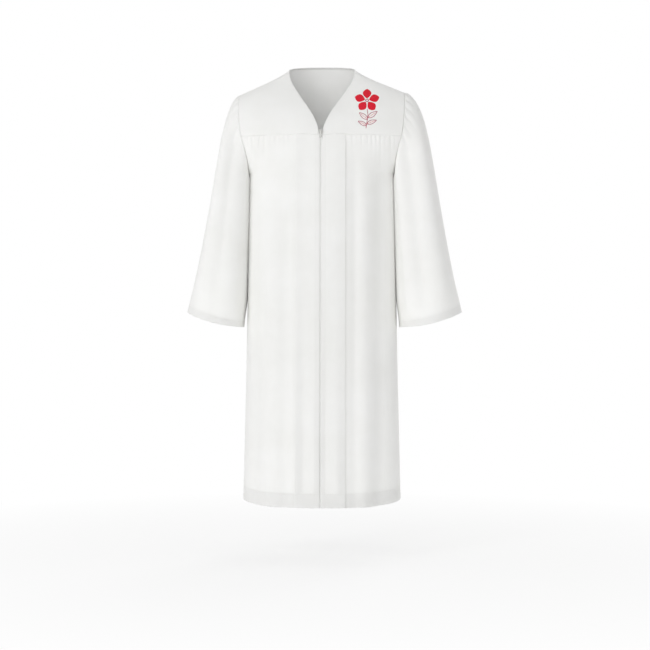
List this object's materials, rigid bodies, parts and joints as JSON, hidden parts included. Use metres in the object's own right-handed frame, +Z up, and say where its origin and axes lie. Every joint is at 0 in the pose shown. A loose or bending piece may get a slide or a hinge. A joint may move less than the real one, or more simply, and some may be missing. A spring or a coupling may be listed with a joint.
{
  "type": "choir robe",
  "caption": "Full-length zip-front choir robe with a V neck, yokes and open bell sleeves, in the hollow form it has when worn.",
  "frame": {"origin": "middle of the neck hole, level with the neck ends of the shoulder seams, between the wearer's shoulders", "axes": "+X to the wearer's left, +Y to the back of the robe, +Z up; the front faces -Y"},
  "size_m": [0.7833, 0.3728, 1.2615],
  "materials": {
    "cloth": "matt white polyester, fine plain weave",
    "tape": "white woven zip tape",
    "zip_metal": "pale enamelled metal"
  },
  "bodies": {
    "robe": {"front_yoke_left": "cloth", "front_yoke_right": "cloth", "back_yoke": "cloth", "front_panel_left": "cloth", "front_panel_right": "cloth", "back_panel": "cloth", "sleeve_left": "cloth", "sleeve_right": "cloth", "zip_tape_left": "tape", "zip_tape_right": "tape", "zip_slider": "zip_metal"},
    "pull": {"zip_pull": "zip_metal"}
  },
  "joints": [
    {"name": "pull_hinge", "type": "hinge", "parent": "robe", "child": "pull", "pos_m": [0, -0.12405, -0.184], "axis": [-1, 0, 0], "range_deg": [0, 150]}
  ]
}
